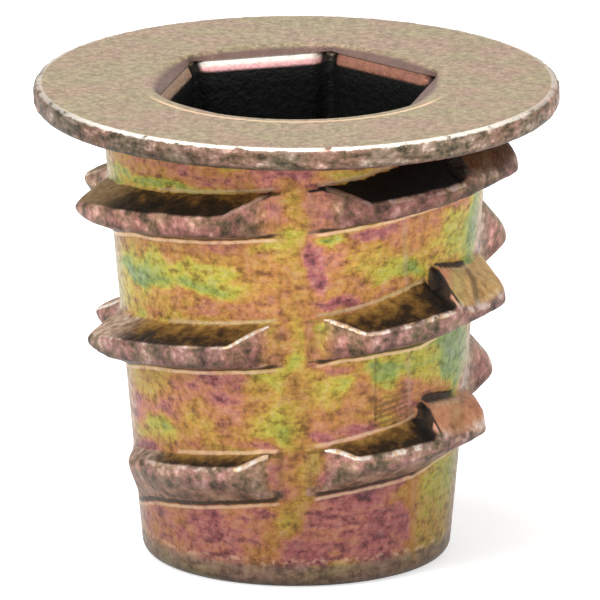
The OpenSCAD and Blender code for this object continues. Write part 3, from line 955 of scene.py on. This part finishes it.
    # painted highlight along the near edge of the hole
    nearEdge = lineAt(radius - 5.17, 0.04, 0.05) * b.step(z, 15.9, 15.99) * b.step(-y, 1.5, 3.0)
    colour = b.tint(nearEdge * 0.7, colour, f["cream"])
    ledge = inMouth * b.step(16.0 - z, 0.02, 0.12)
    colour = b.tint(ledge, colour, b.tint(mottle, f["ledge"], f["ledgeTan"]))
    # painted highlight on the strips, brightest at the back left; painted shade in the corners and along
    # their top edge
    bar = b.tint(b.step(z, 15.52, 15.68), f["barLeft"], f["white"])
    bar = b.tint(b.step(x, 0.2, 1.2), bar, f["barRight"])
    bar = b.tint(b.step(-x, 3.3, 3.5), bar, f["barSide"])
    bar = b.tint(b.step(mottle, 0.45, 0.65) * 0.35, bar, b.dye(bar, f["barStain"]))
    bar = b.tint(b.clamp(corner + lineAt(z - 15.77, 0.012, 0.02) * 0.8), bar, f["black"])
    colour = b.tint(inMouth * b.step(15.79 - z, 0.0, 0.02), colour, bar)
    # painted shade inside the socket and the bore
    colour = b.tint(inSocket * b.step(15.5 - z, 0.0, 0.12), colour, f["socket"])
    colour = b.tint(inBore, colour, f["socket"])

    height = grain * 0.4 + mottle * 0.6
    bump = b.add("ShaderNodeBump", {}, {"Strength": 0.8, "Distance": 0.1 * mm, "Height": height})
    bright = b.clamp(nickAndGlint + wornEdgeHighlight)
    rough = b.clamp(0.45 + (grain - 0.5) * 0.6 + flank * 0.2 - bright * 0.25, 0.15, 0.85)
    metal = b.clamp(0.25 - flank * 0.25 + bright * 0.4)
    shader = b.add("ShaderNodeBsdfPrincipled", {}, {
        "Base Color": colour, "Metallic": metal, "Roughness": rough, "Normal": bump,
        "Specular IOR Level": 0.2})
    b.add("ShaderNodeOutputMaterial", {}, {"Surface": shader})
    return material


insertBody = applyRule(makeBlank(), buildCastingTree(casting), casting, castFinish(finish))
print("casting:", len(insertBody.data.polygons), "faces")
paintFilm(insertBody)
print("film painted")
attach(insertBody, "root")
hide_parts("insert")

stage = {
    "floorHalf": 4.0,
    "floorTone": 0.7,
    "floorGlow": 0.6,        # what the floor adds for the camera and in reflections, to be white there
    "skyTone": 0.5,
    "lampAim": (0, 0, 0.008),
    "lamps": {               # place, width and power
        "keyLamp": ((-0.12, -0.12, 0.14), 0.08, 0.26),
        "topLamp": ((-0.02, -0.02, 0.2), 0.1, 0.3),
        "fillLamp": ((0.14, -0.12, 0.06), 0.1, 0.08),
    },
}


def seenShare(b):
    # 1 for what the camera and reflections see, 0 for light that falls on things
    seen, mirrored, through = b.add("ShaderNodeLightPath", out=[
        "Is Camera Ray", "Is Glossy Ray", "Is Transmission Ray"])
    return b.clamp(seen + mirrored + through)


def makeFloor(s):
    half, tone = s["floorHalf"], s["floorTone"]
    corners = [(-half, -half, 0), (half, -half, 0), (half, half, 0), (-half, half, 0)]
    data = bpy.data.meshes.new("floor")
    data.from_pydata(corners, [], [(0, 1, 2, 3)])
    floor = bpy.data.objects.new("floor", data)
    bpy.context.collection.objects.link(floor)
    material = bpy.data.materials.new("floorWhite")
    material.use_nodes = True
    b = Bench(material.node_tree)
    shader = material.node_tree.nodes["Principled BSDF"]
    shader.inputs["Roughness"].default_value = 0.9
    shader.inputs["Base Color"].default_value = (tone, tone, tone, 1)
    shader.inputs["Emission Strength"].default_value = 1.0
    b.feed(shader.inputs["Emission Color"], b.tint(seenShare(b), (0, 0, 0), [s["floorGlow"]] * 3))
    data.materials.append(material)


def addLamp(name, place, aim, width, power):
    data = bpy.data.lights.new(name, "AREA")
    data.size = width
    data.energy = power
    lamp = bpy.data.objects.new(name, data)
    lamp.location = place
    lamp.rotation_euler = (Vector(aim) - Vector(place)).to_track_quat("-Z", "Y").to_euler()
    bpy.context.collection.objects.link(lamp)


def lightWorld(s):
    world = bpy.data.worlds.new("studio")
    bpy.context.scene.world = world
    world.use_nodes = True
    b = Bench(world.node_tree)
    background = world.node_tree.nodes["Background"]
    b.feed(background.inputs["Color"], b.tint(seenShare(b), [s["skyTone"]] * 3, (1, 1, 1)))


makeFloor(stage)
for name, (place, width, power) in stage["lamps"].items():
    addLamp(name, place, stage["lampAim"], width, power)
lightWorld(stage)
bpy.context.scene.view_settings.view_transform = "Standard"
print("stage set")
